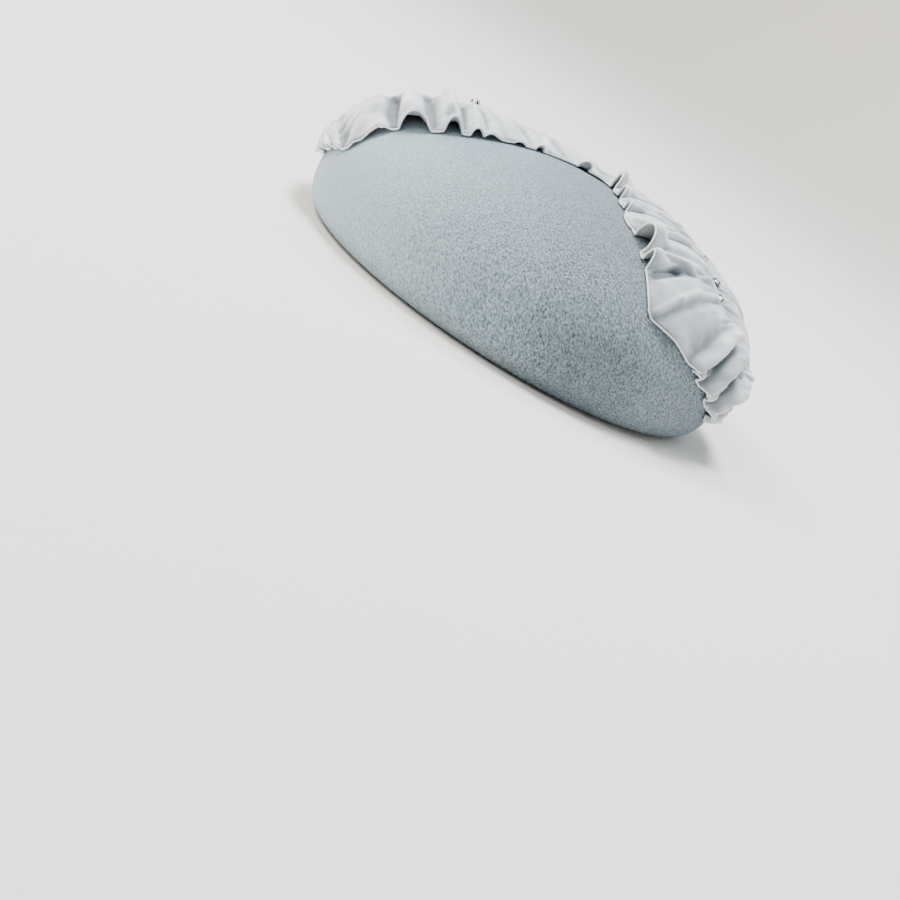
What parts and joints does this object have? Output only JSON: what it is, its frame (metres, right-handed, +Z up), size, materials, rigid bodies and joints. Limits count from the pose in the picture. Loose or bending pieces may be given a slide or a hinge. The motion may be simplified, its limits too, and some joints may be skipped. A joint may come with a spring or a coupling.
{
  "type": "button hat",
  "caption": "Low round felt button hat with a wide gathered velvet ribbon sewn in a curve over its crown and small cut crystals along the ribbon's seam.",
  "frame": {"origin": "centre of the round head opening, in the plane of the turned rim that the hat rests on", "axes": "+Z up through the crown's top, -Z out of the head opening, -Y towards the side where the felt is bare, +X towards the side where the ribbon's longer lobe ends"},
  "size_m": [0.1902, 0.181, 0.0698],
  "materials": {
    "wool_felt": "brushed wool felt with a short nap",
    "velvet": "silver-grey velvet with a soft sheen",
    "crystal": "clear cut stone in a bright metal cup"
  },
  "bodies": {
    "root": {"crown": "wool_felt", "ribbon": "velvet", "crystal_1": "crystal", "crystal_2": "crystal", "crystal_3": "crystal", "crystal_4": "crystal", "crystal_5": "crystal", "crystal_6": "crystal"}
  },
  "joints": []
}
